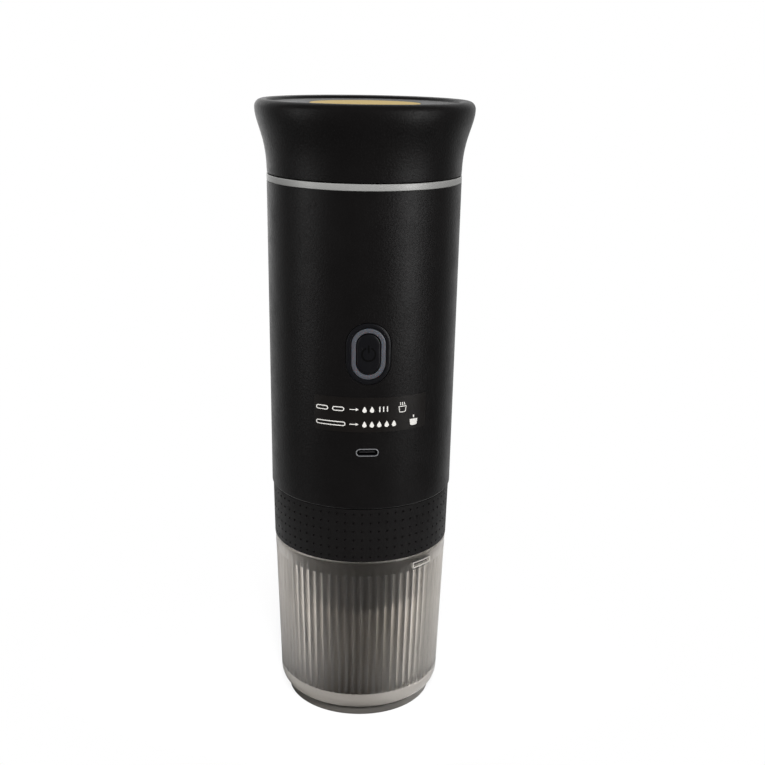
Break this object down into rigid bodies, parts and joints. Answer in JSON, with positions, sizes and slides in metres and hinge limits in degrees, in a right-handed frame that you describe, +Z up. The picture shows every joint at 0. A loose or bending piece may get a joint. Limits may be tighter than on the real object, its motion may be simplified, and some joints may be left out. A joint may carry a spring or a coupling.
{
  "type": "portable coffee maker",
  "caption": "Tall round portable coffee maker: flared screw lid over a heated water tank, button and charging port, screw-on brewing chamber and ribbed translucent cup.",
  "frame": {"origin": "middle of the cup's foot, on the surface that it stands on", "axes": "+Z up along the round body's axis, -Y towards the button"},
  "size_m": [0.086, 0.086, 0.252],
  "materials": {
    "matte_black_plastic": "moulded ABS with a fine matte grain",
    "dark_liner_plastic": "moulded polypropylene, satin",
    "dotted_grip": "moulded ABS with a grid of small dimples",
    "gloss_black_plastic": "polished ABS",
    "light_guide": "smoked diffuser",
    "label_film": "satin black film",
    "smoke_plastic": "clear smoke-grey copolyester",
    "bright_ring": "satin silver plating",
    "gold_disc": "gold anodised, brushed",
    "stainless_steel": "brushed stainless steel",
    "port_steel": "drawn stainless shell",
    "screw_steel": "zinc-plated steel",
    "black_rubber": "moulded rubber",
    "pale_silicone": "translucent silicone rubber",
    "brass_fitting": "turned brass",
    "grey_plastic": "glass-filled nylon",
    "white_plastic": "moulded acetal",
    "circuit_board": "green solder mask on glass fibre",
    "cell_wrap": "shrink-wrapped cell",
    "motor_can": "plated drawn can",
    "heater_aluminium": "cast aluminium",
    "red_wire": "PVC insulation",
    "black_wire": "PVC insulation"
  },
  "bodies": {
    "machine": {"body_shell": "matte_black_plastic", "trim_ring": "bright_ring", "label": "label_film", "button_bezel": "gloss_black_plastic", "light_ring": "light_guide", "switch_body": "dark_liner_plastic", "usb_socket": "port_steel", "main_board": "circuit_board", "board_screws": "screw_steel", "chassis": "grey_plastic", "battery_cells": "cell_wrap", "battery_contacts": "screw_steel", "battery_leads": "red_wire", "pump_manifold": "white_plastic", "pump_diaphragm": "black_rubber", "pump_case": "dark_liner_plastic", "pump_motor": "motor_can", "motor_leads": "black_wire", "inlet_tube": "pale_silicone", "heater_deck": "grey_plastic", "deck_screws": "screw_steel", "heat_pad": "pale_silicone", "heater_plate": "heater_aluminium", "temp_sensor": "dark_liner_plastic", "tank_outlet": "brass_fitting", "water_tank": "stainless_steel", "tank_neck": "matte_black_plastic", "brew_head": "matte_black_plastic", "base_screws": "screw_steel", "needle_plate": "stainless_steel", "plate_screws": "screw_steel", "check_valve": "brass_fitting"},
    "lid_seal": {"lid_seal": "pale_silicone"},
    "lid": {"lid_shell": "matte_black_plastic", "lid_liner": "dark_liner_plastic", "lid_vent": "pale_silicone", "lid_disc": "gold_disc"},
    "brew_gasket": {"brew_gasket": "pale_silicone"},
    "brew_unit": {"brew_chamber": "matte_black_plastic", "grip_sleeve": "dotted_grip", "cup_seal": "black_rubber", "coffee_basket": "stainless_steel", "filter_screen": "stainless_steel", "spout": "matte_black_plastic"},
    "cup": {"cup": "smoke_plastic"},
    "button": {"button": "gloss_black_plastic", "switch_plunger": "white_plastic"},
    "pump_shaft": {"pump_shaft": "stainless_steel"}
  },
  "joints": [
    {"name": "lid_lift", "type": "slide", "parent": "machine", "child": "lid_seal", "axis": [0, 0, 1], "range_m": [0, 0.0181]},
    {"name": "lid_turn", "type": "hinge", "parent": "lid_seal", "child": "lid", "pos_m": [0, 0, 0], "axis": [0, 0, 1], "range_deg": [0, 720]},
    {"name": "chamber_drop", "type": "slide", "parent": "machine", "child": "brew_gasket", "axis": [0, 0, -1], "range_m": [0, 0.0181]},
    {"name": "chamber_turn", "type": "hinge", "parent": "brew_gasket", "child": "brew_unit", "pos_m": [0, 0, 0], "axis": [0, 0, -1], "range_deg": [0, 720]},
    {"name": "cup_pull", "type": "slide", "parent": "brew_unit", "child": "cup", "axis": [0, 0, -1], "range_m": [0, 0.06]},
    {"name": "button_press", "type": "slide", "parent": "machine", "child": "button", "axis": [0, 1, 0], "range_m": [0, 0.0008], "stiffness_N_per_m": 2000},
    {"name": "pump_spin", "type": "hinge", "parent": "machine", "child": "pump_shaft", "pos_m": [0, 0, 0.13], "axis": [0, 0, 1], "continuous": true}
  ],
  "couplings": [
    {"joint": "lid_lift", "follows": "lid_turn", "m_per_rad": 0.0014324},
    {"joint": "chamber_drop", "follows": "chamber_turn", "m_per_rad": 0.0014324}
  ]
}
